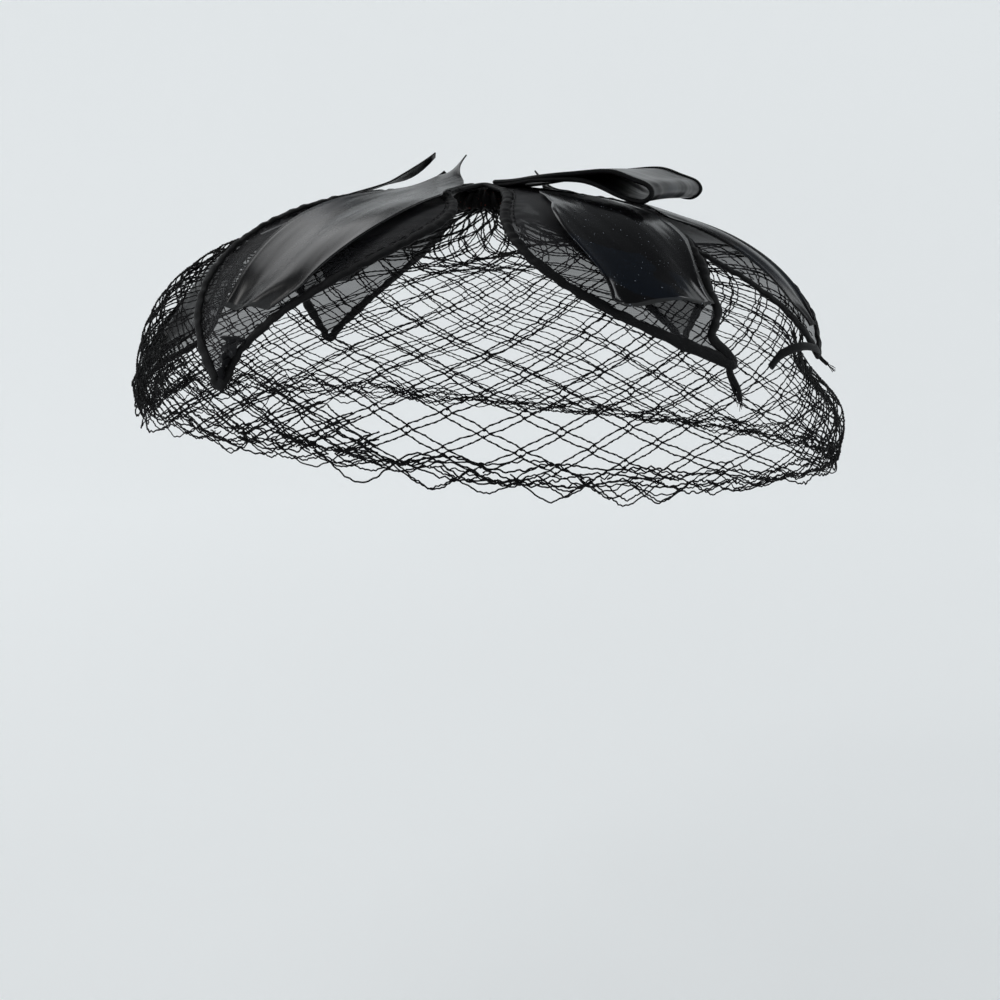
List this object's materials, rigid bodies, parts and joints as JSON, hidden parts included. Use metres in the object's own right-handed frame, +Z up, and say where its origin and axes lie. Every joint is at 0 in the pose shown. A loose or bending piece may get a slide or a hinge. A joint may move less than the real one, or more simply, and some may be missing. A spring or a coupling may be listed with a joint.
{
  "type": "veiled cocktail hat with petal trim",
  "caption": "Open dome of black diamond net gathered at the crown, under sheer bound petals with glossy vinyl leaves and a ribbon loop on top.",
  "frame": {"origin": "underside of the crown, where the hat sits on the top of a head", "axes": "+Z up, +X along the hat's longer way, towards the side where the rim hangs lower, -Y towards the side with the two widest-set petals"},
  "size_m": [0.2484, 0.2284, 0.1091],
  "materials": {
    "net": "crinkled black net thread",
    "organza": "sheer black organza",
    "binding": "matt black bound edge",
    "vinyl": "glossy black vinyl",
    "ribbon": "glossy black ribbon",
    "stay": "dark sewn backing"
  },
  "bodies": {
    "root": {"veil": "net", "veil_hem": "net", "crown_stay": "stay", "petal_near_left": "organza", "petal_near_right": "organza", "petal_right": "organza", "petal_far_right": "organza", "petal_far_left": "organza", "petal_left": "organza", "binding_near_left": "binding", "binding_near_right": "binding", "binding_right": "binding", "binding_far_right": "binding", "binding_far_left": "binding", "binding_left": "binding", "leaf_near_left": "vinyl", "leaf_near_right": "vinyl", "leaf_right": "vinyl", "leaf_far_right": "vinyl", "leaf_far_left": "vinyl", "leaf_left": "vinyl", "bow_loop": "ribbon"}
  },
  "joints": []
}
